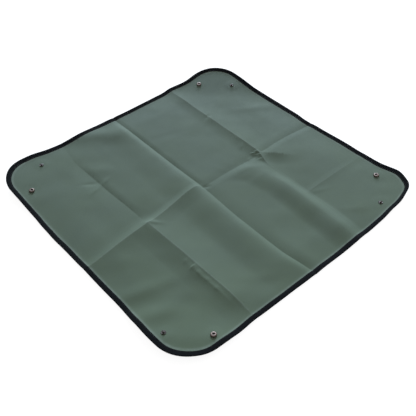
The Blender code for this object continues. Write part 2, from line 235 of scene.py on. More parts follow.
right_reaches = ((-0.04, 0.008), (0.03, 0.032), (0.34, 0.030)), ((-0.04, 0.012), (0.03, 0.046), (0.10, 0.056))
cross_rise = ((-0.34, 0.0008), (-0.32, 0.0012), (-0.19, 0.0013), (-0.155, 0.0032), (-0.03, 0.0026),
              (0.01, -0.0012), (0.12, -0.0014), (0.2, -0.0015), (0.31, -0.0016), (0.34, -0.0012))
cross_reaches = ((-0.03, 0.034), (0.0, 0.016)), ((-0.15, 0.018), (-0.03, 0.016), (0.0, 0.024), (0.34, 0.022))
swell_rise = ((-0.34, 0.0012), (-0.18, 0.0032), (-0.15, 0))
swell_reaches = 0.070, 0.030
short_rise = ((0.135, 0), (0.17, 0.0008), (0.25, 0.0006), (0.32, 0.0003), (0.34, 0.0002))
short_reaches = 0.018, 0.014
left_falloffs = 1.5, 2.0
middle_falloffs = 2.0, 1.7
right_falloffs = 2.0, 1.6
cross_falloffs = 1.6, 1.9
short_falloffs = 1.6, 1.6
swell_falloffs = 2.0, 2.0
long_creases = ((left_path, left_rise, left_reaches, left_falloffs),
                (middle_path, middle_rise, middle_reaches, middle_falloffs),
                (right_path, right_rise, right_reaches, right_falloffs))
cross_creases = ((cross_path, cross_rise, cross_reaches, cross_falloffs),
                 (short_path, short_rise, short_reaches, short_falloffs))
swell_creases = ((cross_path, swell_rise, swell_reaches, swell_falloffs),)
crease_softness = 0.0004

# Shoulders beside the creases: where the top runs, where the foot runs, height, how far it climbs to its top,
# and how evenly it drops to its foot, from 0 for ever steeper to 1 for soft at both ends
middle_top = ((-0.34, -0.026), (-0.25, -0.038), (0.34, -0.030))
middle_shoulder = ((-0.34, 0.0014), (-0.26, 0.0032), (-0.06, 0.0034), (0.02, 0.0034), (0.27, 0.0038),
                   (0.34, 0.0010))
right_top = ((-0.34, 0.121), (-0.12, 0.129), (-0.06, 0.120), (-0.02, 0.090), (0.34, 0.085))
right_foot = ((-0.34, 0.154), (-0.24, 0.159), (-0.16, 0.157), (-0.03, 0.156))
right_shoulder = ((-0.34, 0.0034), (-0.28, 0.0074), (-0.15, 0.0074), (-0.07, 0.0044), (-0.03, 0.0020), (0, 0))
middle_climb, middle_evenness = 0.065, 0
right_climb, right_evenness = 0.050, 1
shoulders = ((middle_top, middle_path, middle_shoulder, middle_climb, middle_evenness),
             (right_top, right_foot, right_shoulder, right_climb, right_evenness))

# How far the edge bulges outwards, for each side in the order of the turns, by the place along x or y
edge_drifts = (
    ((-0.34, -0.002), (-0.30, -0.001), (-0.265, 0.003), (-0.219, -0.002), (-0.17, 0.001), (-0.12, 0.002),
     (-0.03, -0.001), (0.01, -0.003), (0.04, 0), (0.16, 0), (0.20, -0.002)),
    ((-0.34, 0.002), (-0.22, 0.004), (-0.17, 0.001), (-0.08, 0.001), (-0.03, 0.002), (0.03, 0.001),
     (0.11, 0.001), (0.15, -0.002), (0.20, -0.003), (0.25, -0.007), (0.29, -0.010), (0.34, -0.004)),
    ((-0.34, 0.005), (-0.29, 0.004), (-0.24, 0.0055), (-0.20, 0.004), (-0.15, 0.001), (0.03, 0.001),
     (0.08, 0.002), (0.12, 0.001), (0.17, -0.001), (0.34, -0.0015)),
    ((-0.34, -0.001), (-0.29, 0.002), (-0.245, 0.004), (-0.20, 0), (-0.08, 0.001), (-0.02, -0.001),
     (0.03, -0.002), (0.13, -0.002), (0.17, 0), (0.22, -0.006), (0.26, -0.002), (0.34, 0)),
)

# Swells of the panels, then single folds, then the crumples where creases cross:
# place, half length, half width, direction in degrees, and rise
swells = (
    ((-0.100, -0.160), 0.150, 0.040, 90, -0.0022), ((0.250, 0.120), 0.120, 0.070, 90, -0.0012),
    ((-0.280, -0.150), 0.075, 0.018, -16, 0.0018), ((-0.300, -0.208), 0.075, 0.020, -18, 0.0026),
    ((-0.290, -0.050), 0.060, 0.022, -20, 0.0008), ((-0.084, 0.312), 0.060, 0.026, -38, 0.0048),
    ((0.090, 0.240), 0.080, 0.060, 60, 0.0012), ((-0.105, 0.090), 0.120, 0.050, 90, 0.0018),
    ((0.002, -0.280), 0.060, 0.026, 92, 0.0020), ((-0.090, -0.275), 0.050, 0.014, -35, 0.0006),
    ((0.250, -0.100), 0.060, 0.050, 30, 0.0018), ((-0.250, 0.120), 0.100, 0.050, 60, 0.0018),
    ((-0.105, -0.322), 0.050, 0.022, 0, 0.0016),
)
folds = (
    ((0.035, 0.196), 0.040, 0.009, -15, -0.0003), ((0.040, 0.175), 0.050, 0.009, -12, 0.0002),
    ((0.058, 0.018), 0.022, 0.008, 110, 0.0002),
    ((0.275, 0.135), 0.055, 0.014, -32, 0.0010), ((-0.145, 0.195), 0.035, 0.018, -45, 0.0012),
    ((-0.290, 0.085), 0.050, 0.020, 30, 0.0010), ((0.175, -0.185), 0.024, 0.006, -20, 0.0005),
    ((0.190, -0.275), 0.032, 0.011, -40, 0.0005), ((0.120, -0.035), 0.030, 0.012, -30, 0.0014),
)
crumples = (
    ((0.149, 0.040), 0.012, 0.0070, 30, 0.0008), ((-0.192, 0.174), 0.018, 0.0055, -30, -0.0009),
    ((-0.160, 0.158), 0.018, 0.0055, 15, 0.0008), ((-0.192, 0.148), 0.016, 0.0055, 20, 0.0009),
    ((-0.158, -0.022), 0.016, 0.0050, -45, 0.0010), ((-0.004, -0.008), 0.010, 0.0050, -30, -0.0012),
    ((0.166, 0.180), 0.010, 0.0045, 20, -0.0010), ((-0.177, -0.148), 0.006, 0.0040, 20, 0.0005),
    ((-0.177, -0.188), 0.006, 0.0040, 60, 0.0006), ((-0.176, -0.212), 0.006, 0.0040, 110, 0.0005),
    ((-0.177, -0.240), 0.006, 0.0040, 60, 0.0006),
)

# Pinched folds with a sharp crest: place, half length, how far the flanks go to the right of the crest and
# to its left, direction in degrees, and rise
pinches = (
    ((0.189, -0.031), 0.034, 0.034, 0.085, -50, 0.0044), ((0.153, 0.004), 0.006, 0.012, 0.004, -35, 0.0012),
    ((0.162, 0.003), 0.005, 0.010, 0.004, -20, 0.0010), ((0.158, -0.008), 0.007, 0.012, 0.004, -35, 0.0013),
    ((0.166, -0.006), 0.005, 0.008, 0.004, -60, 0.0008), ((0.152, -0.022), 0.006, 0.010, 0.004, -35, 0.0008),
    ((0.131, -0.004), 0.006, 0.010, 0.004, 30, 0.0007), ((-0.176, -0.1685), 0.007, 0.014, 0.0035, 5, 0.0013),
    ((-0.178, -0.214), 0.050, 0.008, 0.016, 90, 0.0012),
)
pinch_falloff = 1.5

# Colours and finish of the cloth
# Dark and light ends of each cloth's colour: random blotches and a painted sheen towards +X and +Y mix
# between them
face_dark, face_light = (0.096, 0.130, 0.082), (0.107, 0.140, 0.119)
back_dark, back_light = (0.034, 0.064, 0.044), (0.044, 0.078, 0.055)
# Pale colour of the painted highlights beside the binding and on the ridge creases
painted_highlight_colour = (0.20, 0.24, 0.21)
face_roughness, face_weave_strength = 0.76, 0.5
back_roughness, back_weave_strength = 0.62, 1.0
cloth_specular = 0.08
gloss_spread = 0.12
blotch_scale, blotch_share = 9, 0.45
fine_blotch_scale, fine_blotch_share = 60, 0.25
# Painted sheen: how fast the cloth turns from its dark colour to its light, bluer one towards +X and +Y, and
# where it starts
painted_sheen_drift, painted_sheen_start = 0.45, 0.15
# Noise that breaks up the painted highlights: its scale, how much it takes off, and the greatest share left
highlight_break_scale, highlight_break_loss, highlight_break_most = 120, 0.02, 0.6
weave_pitch = 0.0013
weave_share, grain_share = 0.7, 0.5
grain_scale = 700
weave_depth = 0.00006
fine_detail = 3

# Colours and finish of the tape, the thread and the metals
tape_colour, tape_roughness, tape_specular = (0.0030, 0.0036, 0.0044), 0.9, 0.04
rib_pitch, rib_depth, rib_strength = 0.0011, 0.00012, 0.8
thread_colour, thread_roughness = (0.006, 0.007, 0.008), 0.8
copper_roughness = 0.38
copper_colours = (0.030, 0.023, 0.020), (0.150, 0.116, 0.102)
# Painted dark reflection: a darker copy of the copper for the studs and eyelets, in place of the dark
# reflection on them
painted_dark_reflection_colours = (0.008, 0.008, 0.008), (0.060, 0.052, 0.048)
# Painted shade: near-black metal for the socket's bore and the rivet seen down it, where the hole is dark
# from its depth
hole_shade_colours = (0.003, 0.003, 0.003), (0.012, 0.010, 0.009)
tarnish_scale = 700
wire_colour, wire_roughness = (0.22, 0.21, 0.20), 0.35

# Fine bumps of the thread and the metals: noise scale, detail, depth and strength
twist = 2500, 2, 0.00005, 0.6
pits = 2400, 3, 0.00006, 0.35
scratches = 3000, 2, 0.00003, 0.3

# The light and the floor
ambient = 0.33
key_turn = radians(48)
key_height = radians(19)
key_distance = 3
key_spread = radians(24)
key_strength = 5.95
key_colour = (0.72, 0.85, 1.0)
side_place = Vector((0.9, -0.5, 0.8))
side_size = 1.0
side_power = 2.2
floor_colour = (0.35, 0.35, 0.35)
floor_glow = 0.90
floor_size = 40
floor_drop = 0.0005

# The camera, fitted to the photograph
photo_side = 416
focal_length = 656.45
sensor_width = 36
camera_turn = radians(-39.850)
camera_height = radians(44.925)
camera_roll = radians(-1.6667)
camera_distance = 1.41629
camera_aim = Vector((-0.04352, -0.06094, 0.0030))


def smooth(value):
    """Rises from 0 to 1 with level ends."""
    value = np.clip(value, 0, 1)
    return value * value * (3 - 2 * value)


def along_table(table, place):
    """Reads a table of (place, value) rows with smooth steps between them, or one number."""
    if isinstance(table, float):
        return np.full(np.shape(place), table)
    places = np.array([row[0] for row in table])
    values = np.array([row[1] for row in table])
    index = np.clip(np.searchsorted(places, place) - 1, 0, len(places) - 2)
    share = (place - places[index]) / (places[index + 1] - places[index])
    return values[index] + (values[index + 1] - values[index]) * smooth(share)


def turned(x, y, turn):
    """A plan place of turn 0, taken to another turn."""
    for _ in range(turn):
        x, y = y, -x
    return x, y


def snap_middle(name):
    """Where a snap's axis meets the sheet's underside, and its way up, from its solid."""
    points = np.array([vertex.co for vertex in frame["nodes"][name].data.vertices])
    middle = points.mean(axis=0)
    normal = np.array([-corner_slope * np.sign(middle[0]), -corner_slope * np.sign(middle[1]), 1])
    normal /= np.linalg.norm(normal)
    seat = corner_slope * (abs(middle[0]) + abs(middle[1]) - 2 * fold_line + hinge_shift)
    return middle - normal * (middle[2] - seat) * normal[2], normal


snap_middles = {f"{corner}_{kind}": snap_middle(f"{corner}_{kind}")
                for corner in corner_names for kind in ("stud", "socket")}


def curl_share(away):
    """How far a wall's end has curled up, away from the corner's hinge line along the wall."""
    along = np.clip(away / curl_length, 0, 1)
    bend = 2 - curl_start_share * curl_length / wall_height
    return (1 - along) ** 2 * (1 + bend * along)


def solid_level(x, y):
    """Height of the solids' underside, without creases."""
    rim_slope = rim_rise / (wall_height - binding_width)
    out_x, out_y = np.abs(x) - fold_line, np.abs(y) - fold_line
    corner = corner_slope * (out_x + out_y + hinge_shift)
    outward = np.maximum(out_x, out_y)
    away = -hinge_shift - np.minimum(out_x, out_y)
    wall = outward * (rim_slope + (corner_slope - rim_slope) * curl_share(away))
    level = np.where((out_x > -hinge_shift) & (out_y > -hinge_shift), corner, wall)
    return np.where((out_x < 0) & (out_y < 0), 0, level)


def lifted(x, y):
    """The solids' height, off the ground, with round bends at the corners and one tip lower."""
    total, weight = 0, 0
    last = softening_rings[-1][0]
    for ring, count in softening_rings:
        for step in range(count):
            angle = 2 * pi * (step + ring / 2) / count
            reach = softening * ring / last
            share = 1 / (1 + ring)
            total = total + share * solid_level(x + reach * cos(angle), y + reach * sin(angle))
            weight += share
    droop = corner_droop * smooth((-x - y - droop_start) / droop_reach)
    level = total / weight - droop
    apart = level - ground_clearance
    return (level + ground_clearance + np.sqrt(apart ** 2 + clearance_blend ** 2)) / 2


def crease_level(away, rise, reach, falloff):
    """Height of one crease at a distance from its line."""
    apart = np.hypot(away, crease_softness) - crease_softness
    return rise * np.maximum(1 - apart / reach, 0) ** falloff


def shoulder_level(away, rise, low_reach, high_reach, evenness):
    """Height of a rounded shoulder at a distance from its top."""
    climb = smooth(1 + away / low_reach)
    share = np.clip(away / high_reach, 0, 1)
    drop = (1 - share ** 2) * (1 - evenness) + smooth(1 - share) * evenness
    return rise * np.where(away < 0, climb, drop)


def along_creases(across, along, group):
    """Height that a group of creases adds. across is the place that the creases divide."""
    level = 0
    for path, rise, (low_reach, high_reach), (low_falloff, high_falloff) in group:
        away = across - along_table(path, along)
        reach = np.where(away < 0, along_table(low_reach, along), along_table(high_reach, along))
        falloff = np.where(away < 0, low_falloff, high_falloff)
        level = level + crease_level(away, along_table(rise, along), reach, falloff)
    return level


def creases(x, y):
    """Height that all packing creases and the shoulders beside them add together."""
    level = (along_creases(x, y, long_creases) + along_creases(y, x, cross_creases)
             + along_creases(y, x, swell_creases))
    for top_path, foot_path, rise, low_reach, evenness in shoulders:
        top, foot = along_table(top_path, y), along_table(foot_path, y)
        level = level + shoulder_level(x - top, along_table(rise, y), low_reach, foot - top, evenness)
    return level


def from_edge(x, y):
    """Distance in from the mat's edge."""
    out_x, out_y = (np.maximum(np.abs(place) - half_side + corner_radius, 0) for place in (x, y))
    return np.minimum(corner_radius - np.hypot(out_x, out_y),
                      half_side - np.maximum(np.abs(x), np.abs(y)))


def painted_highlight_lines(x, y):
    """Share of painted highlight, from 0 to 1: a pale line beside the binding, and pale crests on the packing
    creases that stand up as ridges.
    """
    wear = np.exp(-((from_edge(x, y) - binding_width - highlight_reach) / highlight_reach) ** 2)
    for across, along, group in ((x, y, long_creases), (y, x, cross_creases)):
        for path, rise, *_ in group:
            away = (across - along_table(path, along)) / highlight_reach
            deep = np.clip(along_table(rise, along) / highlight_full_rise, 0, highlight_most)
            wear = np.maximum(wear, deep * np.exp(-away ** 2))
    return wear


def noise(x, y, length, seed):
    """Soft hills of a given length, from -1 to 1, the same each run."""
    size = noise_cells
    table = np.random.default_rng(seed).uniform(-1, 1, (size, size))
    u, v = x / length + size / 2, y / length + size / 2
    column, row = np.floor(u).astype(int), np.floor(v).astype(int)
    a, b = smooth(u - column), smooth(v - row)

    def mixed(line):
        return table[column % size, line % size] * (1 - a) + table[(column + 1) % size, line % size] * a

    return mixed(row) * (1 - b) + mixed(row + 1) * b


def seen_from(place, direction, x, y):
    """How far plan places lie from one place along a direction in degrees, and to the left of it."""
    turn = radians(direction)
    x, y = x - place[0], y - place[1]
    return x * cos(turn) + y * sin(turn), y * cos(turn) - x * sin(turn)


def dent_level(x, y):
    """Height that swells, single folds, crumples and pinched folds add."""
    level = 0
    for place, length, width, direction, rise in (*swells, *folds, *crumples):
        along, across = seen_from(place, direction, x, y)
        level = level + rise * np.exp(-(along / length) ** 2 - (across / width) ** 2)
    for place, length, right_reach, left_reach, direction, rise in pinches:
        along, across = seen_from(place, direction, x, y)
        reach = np.where(across < 0, right_reach, left_reach)
        level = level + crease_level(across, rise, reach, pinch_falloff) * np.exp(-(along / length) ** 2)
    return level


def calm(x, y):
    """Share of the creases and hills that is left: none at a snap and none where a corner's folds meet."""
    apart = (np.abs(x) - wall_end) ** 2 + (np.abs(y) - wall_end) ** 2
    left = 1 - np.exp(-apart / nose_calm ** 2)
    for middle, _ in snap_middles.values():
        apart = (x - middle[0]) ** 2 + (y - middle[1]) ** 2
        left = left * (1 - np.exp(-(apart / snap_calm ** 2) ** 2))
    return left


def sheet_level(x, y):
    """Height of the sheet's upper face over the ground."""
    inside = half_side - np.maximum(np.abs(x), np.abs(y))
    hills = (broad_hill * noise(x, y, broad_length, broad_seed)
             + small_hill * noise(x, y, small_length, small_seed))
    from_corner = 2 * half_side - np.abs(x) - np.abs(y) - corner_still
    panel = panel_rise * smooth(inside / rim_reach) * smooth(from_corner / corner_reach)
    curl = rim_curl * np.maximum(1 - from_edge(x, y) / rim_curl_reach, 0) ** 2
    level = lifted(x, y) + panel + curl + (creases(x, y) + hills + dent_level(x, y)) * calm(x, y)
    apart = level - least_level
    return (level + least_level + np.sqrt(apart ** 2 + least_blend ** 2)) / 2 + sheet_thickness


def drifted(x, y):
    """A plan place moved with the edge's bulges, which die away inwards."""
    near_x, near_y = (smooth(1 - (half_side - np.abs(place)) / drift_reach) for place in (x, y))
    right, front, left, back = edge_drifts
    shift_x = near_x * np.where(x > 0, along_table(right, y), -along_table(left, y))
    shift_y = near_y * np.where(y > 0, along_table(back, x), -along_table(front, x))
    return x + shift_x, y + shift_y


def settle(x, y):
    """The place in space of a plan place on the sheet's upper face."""
    return np.stack([*drifted(x, y), sheet_level(x, y)], axis=-1)


def normals(x, y):
    """Unit normals of the sheet's upper face."""
    slope_x = (sheet_level(x + slope_step, y) - sheet_level(x - slope_step, y)) / (2 * slope_step)
    slope_y = (sheet_level(x, y + slope_step) - sheet_level(x, y - slope_step)) / (2 * slope_step)
    up = np.stack([-slope_x, -slope_y, np.ones_like(slope_x)], axis=-1)
    return up / np.linalg.norm(up, axis=-1, keepdims=True)


def spaced(start, end, cell):
    """Places from start to end, about a cell apart."""
    return np.linspace(start, end, max(round(abs(end - start) / cell), 1) + 1)


def joined(*stretches):
    """One list of places from stretches that meet end to end."""
    return np.concatenate([stretches[0]] + [stretch[1:] for stretch in stretches[1:]])


def grid_lines(reach, group, crumple):
    """Lines across the base: close together beside each crease of a group and in the crumple."""
    middles = [float(along_table(path, 0.0)) for path, *_ in group]
    wanted = {middle + side * offset for middle in middles
              for offset in (0, *crease_offsets) for side in (-1, 1)}
    wanted |= {line for line in spaced(*crumple, crumple_cell)
               if min(abs(line - other) for other in wanted) > tightest_cell}
    lines = [-reach] + [line for line in sorted(wanted) if abs(line) < reach - tightest_cell] + [reach]
    return joined(*[spaced(start, end, base_cell) for start, end in zip(lines, lines[1:])])


def warp(value, other, group, reach):
    """Moves grid lines sideways so that they follow a group of creases. other is the place along."""
    paths = sorted([path for path, *_ in group], key=lambda path: along_table(path, 0.0))
    knots = np.array([-reach, *[along_table(path, 0.0) for path in paths], reach])
    still = np.zeros_like(value)
    shifts = np.stack([still, *[along_table(path, other) - along_table(path, 0.0) for path in paths], still])
    index = np.clip(np.searchsorted(knots, value) - 1, 0, len(knots) - 2)
    share = np.clip((value - knots[index]) / (knots[index + 1] - knots[index]), 0, 1)
    low = np.take_along_axis(shifts, index[None], 0)[0]
    high = np.take_along_axis(shifts, index[None] + 1, 0)[0]
    return value + low + (high - low) * share


def plan(u, v):
    """Plan places of grid places: the grid's lines run along the creases."""
    reach = fold_line - wall_bend
    return warp(u, v, long_creases, reach), warp(v, u, cross_creases, reach)


def link(name, data, materials=()):
    """Puts a mesh with its materials, a light or the camera in the scene."""
    piece = bpy.data.objects.new(name, data)
    bpy.context.scene.collection.objects.link(piece)
    for material in materials:
        data.materials.append(material)
    return piece


def finished(mesh, data):
    """Writes an edited mesh back to its data."""
    mesh.to_mesh(data)
    mesh.free()
    return data


def quads(low, high):
    """Faces between two rings of point numbers, or between two rows of such rings."""
    return np.stack([low, high, np.roll(high, -1, axis=-1), np.roll(low, -1, axis=-1)], -1)


def shell_faces(rows, columns, flip):
    """Faces of the upper side, the lower side and the rim of a thin sheet over a grid."""
    count = rows * columns
    index = np.arange(count).reshape(rows, columns)
    cells = np.stack([index[:-1, :-1], index[:-1, 1:], index[1:, 1:], index[1:, :-1]], -1).reshape(-1, 4)
    ring = np.concatenate([index[0, :-1], index[:-1, -1], index[-1, :0:-1], index[:0:-1, 0]])
    rim = quads(ring, ring + count)
    if flip:
        cells, rim = cells[:, ::-1], rim[:, ::-1]
    return cells, cells[:, ::-1] + count, rim


def shell(name, x, y, materials):
    """A closed thin sheet over a grid of plan places. Its materials are the upper face's and the lower's."""
    top = settle(x, y)
    bottom = top - normals(x, y) * sheet_thickness
    points = np.concatenate([top.reshape(-1, 3), bottom.reshape(-1, 3)])
    row, column = x.shape[0] // 2, x.shape[1] // 2
    step_x = x[row, column] - x[row, column - 1], y[row, column] - y[row, column - 1]
    step_y = x[row, column] - x[row - 1, column], y[row, column] - y[row - 1, column]
    flip = step_x[0] * step_y[1] - step_x[1] * step_y[0] < 0
    upper, lower, rim = shell_faces(*x.shape, flip)
    data = bpy.data.meshes.new(name)
    data.from_pydata(points.tolist(), [], np.concatenate([upper, lower, rim]).tolist())
    smooth_faces = [True] * (2 * len(upper)) + [False] * len(rim)
    data.polygons.foreach_set("use_smooth", smooth_faces)
    data.polygons.foreach_set("material_index", [0] * len(upper) + [1] * len(lower) + [0] * len(rim))
    side = np.concatenate([np.ones(x.size), -np.ones(x.size)])
    flat = np.stack([np.tile(x.ravel(), 2), np.tile(y.ravel(), 2), side], -1)
    data.attributes.new("plan", "FLOAT_VECTOR", "POINT").data.foreach_set("vector", flat.ravel())
    # Share of painted highlight at each point
    wear = np.tile(painted_highlight_lines(x, y).ravel(), 2)
    data.attributes.new("wear", "FLOAT", "POINT").data.foreach_set("value", wear)
    mesh = bmesh.new()
    mesh.from_mesh(data)
    bmesh.ops.remove_doubles(mesh, verts=mesh.verts, dist=merge_distance)
    finished(mesh, data)
    set_normals(data)
    return link(name, data, materials)


def set_normals(data):
    """Gives a thin sheet the surface's own normals, so that its pieces meet without a line between them."""
    flat = np.zeros(len(data.vertices) * 3)
    data.attributes["plan"].data.foreach_get("vector", flat)
    flat = flat.reshape(-1, 3)
    directions = normals(flat[:, 0], flat[:, 1]) * flat[:, 2:]
    corners = np.zeros(len(data.loops), int)
    data.loops.foreach_get("vertex_index", corners)
    wanted = directions[corners]
    for polygon in data.polygons:
        if not polygon.use_smooth:
            wanted[polygon.loop_start:polygon.loop_start + polygon.loop_total] = 0
    data.normals_split_custom_set(wanted.tolist())


def outline(place):
    """Edge of the mat on turn 0: point and way inwards at a distance along it, 0 at the wall's middle."""
    centre = half_side - corner_radius
    angle = np.clip((place - centre) / corner_radius, 0, pi / 2)
    after = np.maximum(place - centre - corner_radius * pi / 2, 0)
    x = centre + corner_radius * np.cos(angle) - after
    y = np.minimum(place, centre) + corner_radius * np.sin(angle)
    return x, y, -np.cos(angle), -np.sin(angle)


def base_lines():
    """The base's grid lines: across from left to right, and from front to back."""
    reach = fold_line - wall_bend
    return (grid_lines(reach, long_creases, crumple_across),
            grid_lines(reach, cross_creases, crumple_along))


def wall_lines(turn):
    """Grid places along a wall, in turn 0's direction."""
    columns, rows = base_lines()
    lines = rows if turn in (0, 2) else columns
    return lines if turn in (0, 1) else -lines[::-1]


def across_lines():
    """Grid places from a wall's bend out to its bound edge."""
    return joined(spaced(fold_line - wall_bend, wall_end, bend_cell),
                  spaced(wall_end, fold_line + wall_bend, bend_cell),
                  spaced(fold_line + wall_bend, half_side - sheet_inset, base_cell))


def base_grid():
    """Plan places of the base."""
    return plan(*np.meshgrid(*base_lines()))


def wall_grid(turn):
    """Plan places of a wall."""
    across, along = across_lines(), wall_lines(turn)
    along = np.concatenate([[-wall_end], along, [wall_end]])
    u, v = np.meshgrid(across, along)
    v[0] = np.maximum(-wall_end, -u[0])
    v[-1] = np.minimum(wall_end, u[-1])
    return plan(*turned(u, v, turn))


def corner_places(kind):
    """Distances along the edge of one half of a corner, from its own seam to its last."""
    start, middle = wall_end, half_side - corner_radius + corner_radius * pi / 4
    stud = joined(spaced(start, start + ear_bend, bend_cell),
                  spaced(start + ear_bend, middle - crease_bend, base_cell),
                  spaced(middle - crease_bend, middle, crease_bend / crease_cells))
    if kind == "stud":
        return stud
    return (2 * middle - stud)[::-1]


def ear_grid(turn, kind):
    """Plan places of half a corner: a fan from the corner's nose to the bound edge."""
    x, y, in_x, in_y = outline(corner_places(kind))
    x, y = x + in_x * sheet_inset, y + in_y * sheet_inset
    across = across_lines()
    shares = (across[across >= wall_end] - wall_end) / (half_side - sheet_inset - wall_end)
    u = wall_end + shares[:, None] * (x - wall_end)
    v = wall_end + shares[:, None] * (y - wall_end)
    return turned(u, v, turn)


def binding_section():
    """The folded tape's section: distance in from the edge, and height over the sheet's upper face."""
    under = -sheet_thickness
    width = binding_width
    upper = [(width - out, rise) for out, rise in tape_inner_part] + [*tape_outer_part]
    lower = [(inset, under - rise) for inset, rise in reversed(upper)]
    inner = ((width, under - tape_gap), (tape_fold_start, under - tape_gap), (tape_fold, under / 2),
             (tape_fold_start, tape_gap), (width, tape_gap))
    return np.array([*upper, *lower, *inner])


def edge_puff(place, turn):
    """How much wider or narrower the tape is at a place along the edge, as a share."""
    return 1 + tape_wave_share * noise(place, np.full_like(place, turn), tape_wave_length, tape_wave_seed)


def tape(name, places, turn, materials):
    """A stretch of the folded binding along the edge, with its two rows of stitches."""
    section = binding_section()
    x, y, in_x, in_y = outline(places)
    inset = section[:, 0] * edge_puff(places, turn)[:, None]
    u, v = turned(x[:, None] + in_x[:, None] * inset, y[:, None] + in_y[:, None] * inset, turn)
    points = np.stack([*drifted(u, v), sheet_level(u, v) + section[:, 1]], -1)
    stations, around = len(places), len(section)
    index = np.arange(stations * around).reshape(stations, around)
    sides = quads(index[:-1], index[1:]).reshape(-1, 4)
    threads, thread_faces = stitches(places, turn)
    faces = sides.tolist() + [index[0].tolist(), index[-1, ::-1].tolist()]
    faces += (thread_faces + points.size // 3).tolist()
    along = np.concatenate([np.repeat(places, around), threads[:, 1] + threads[:, 0]])
    across = np.concatenate([np.tile(section[:, 0], stations), np.zeros(len(threads))])
    data = bpy.data.meshes.new(name)
    data.from_pydata(np.concatenate([points.reshape(-1, 3), threads]).tolist(), [], faces)
    tape_faces = len(sides) + 2
    data.polygons.foreach_set("material_index", [0] * tape_faces + [1] * len(thread_faces))
    flat = np.stack([along, across, np.zeros(len(along))], -1)
    data.attributes.new("plan", "FLOAT_VECTOR", "POINT").data.foreach_set("vector", flat.ravel())
    mesh = bmesh.new()
    mesh.from_mesh(data)
    bmesh.ops.recalc_face_normals(mesh, faces=mesh.faces)
    finished(mesh, data).shade_smooth()
    data.set_sharp_from_angle(angle=tape_sharp)
    return link(name, data, materials)


def stitches(places, turn):
    """Points and faces of a stretch's stitches, above and below: each is a short bowed thread."""
    along = np.array(stitch_stations) * (stitch_length / 2)
    sunk = np.array(stitch_sunk) * thread_radius
    thick = np.array(stitch_thick) * thread_radius
    angles = np.arange(thread_sides) * 2 * pi / thread_sides
    count = max(int((places[-1] - places[0]) / stitch_pitch), 1)
    middles = places[0] + (np.arange(count) + 0.5) * (places[-1] - places[0]) / count
    place = middles[:, None] + along
    x, y, in_x, in_y = outline(place)
    inset = (binding_width - stitch_inset) * edge_puff(place, turn)
    u, v = turned(x + in_x * inset, y + in_y * inset, turn)
    wide_x, wide_y = turned(in_x, in_y, turn)
    level = sheet_level(u, v)
    u, v = drifted(u, v)
    groups = []
    for side, seat in ((1, stitch_seat), (-1, -sheet_thickness - stitch_seat)):
        height = level + seat - side * sunk
        ring = [np.stack([u + wide_x * thick * cos(angle), v + wide_y * thick * cos(angle),
                          height + thick * sin(angle)], -1) for angle in angles]
        groups.append(np.stack(ring, axis=2))
    points = np.stack(groups, axis=1)
    index = np.arange(points.size // 3).reshape(points.shape[:-1])
    faces = quads(index[..., :-1, :], index[..., 1:, :])
    return points.reshape(-1, 3), faces.reshape(-1, 4)


def rounded(profile, radius):
    """A profile of radius and height with its corners rounded by short chords."""
    points = [Vector(point) for point in profile]
    result = [points[0]]
    for before, corner, after in zip(points, points[1:], points[2:]):
        reach = min(radius, *((other - corner).length / rounding_limit for other in (before, after)))
        first = corner + (before - corner).normalized() * reach
        last = corner + (after - corner).normalized() * reach
        for step in range(corner_chords + 1):
            share = step / corner_chords
            result.append(first * (1 - share) ** 2 + corner * 2 * share * (1 - share) + last * share ** 2)
    return result + [points[-1]]


def placed(name, mesh, matrix, materials):
    """Puts an edited mesh in the scene as a smooth piece of a snap."""
    bmesh.ops.recalc_face_normals(mesh, faces=mesh.faces)
    data = finished(mesh, bpy.data.meshes.new(name))
    data.shade_smooth()
    piece = link(name, data, materials)
    piece.matrix_world = matrix
    return piece


def lathe(name, profile, matrix, materials, inside=0):
    """A turned piece from a profile of radius and height. The last material is for faces inside a radius,
    where a hollow's painted shade goes.
    """
    mesh = bmesh.new()
    corners = [mesh.verts.new((radius, 0, height)) for radius, height in profile]
    edges = [mesh.edges.new(pair) for pair in zip(corners, corners[1:])]
    if profile[0][0] > 0:
        edges.append(mesh.edges.new((corners[-1], corners[0])))
    bmesh.ops.spin(mesh, geom=corners + edges, cent=(0, 0, 0), axis=(0, 0, 1), angle=2 * pi,
                   steps=snap_steps, use_merge=True)
    bmesh.ops.remove_doubles(mesh, verts=mesh.verts, dist=merge_distance)
    for face in mesh.faces:
        if face.calc_center_median().xy.length < inside:
            face.material_index = len(materials) - 1
    piece = placed(name, mesh, matrix, materials)
    piece.data.set_sharp_from_angle(angle=snap_sharp)
    return piece


def wire_ring(name, matrix, materials):
    """The open ring of wire in the socket's groove."""
    height = sheet_thickness + snap_gap + socket_height - socket_lip - spring_drop_share * spring_wire_radius
    sweep = 2 * pi - spring_opening
    mesh = bmesh.new()
    rings = []
    for step in range(spring_points):
        turn = spring_opening / 2 + sweep * step / (spring_points - 1)
        ring = []
        for side in range(wire_sides):
            angle = 2 * pi * side / wire_sides
            reach = spring_ring_radius + spring_wire_radius * cos(angle)
            ring.append(mesh.verts.new((reach * cos(turn), reach * sin(turn),
                                        height + spring_wire_radius * sin(angle))))
        rings.append(ring)
    for low, high in zip(rings, rings[1:]):
        for side in range(wire_sides):
            mesh.faces.new((low[side - 1], low[side], high[side], high[side - 1]))
    mesh.faces.new(rings[0])
    mesh.faces.new(rings[-1][::-1])
    return placed(name, mesh, matrix, materials)


def snap_matrix(name):
    """Where a snap sits: on the ear's underside, square to it."""
    middle, normal = snap_middles[name]
    normal = Vector(normal)
    across = Vector((1, 0, 0)) - normal * normal.x
    across.normalize()
    axes = Matrix((across, normal.cross(across), normal)).transposed().to_4x4()
    return Matrix.Translation(middle) @ axes


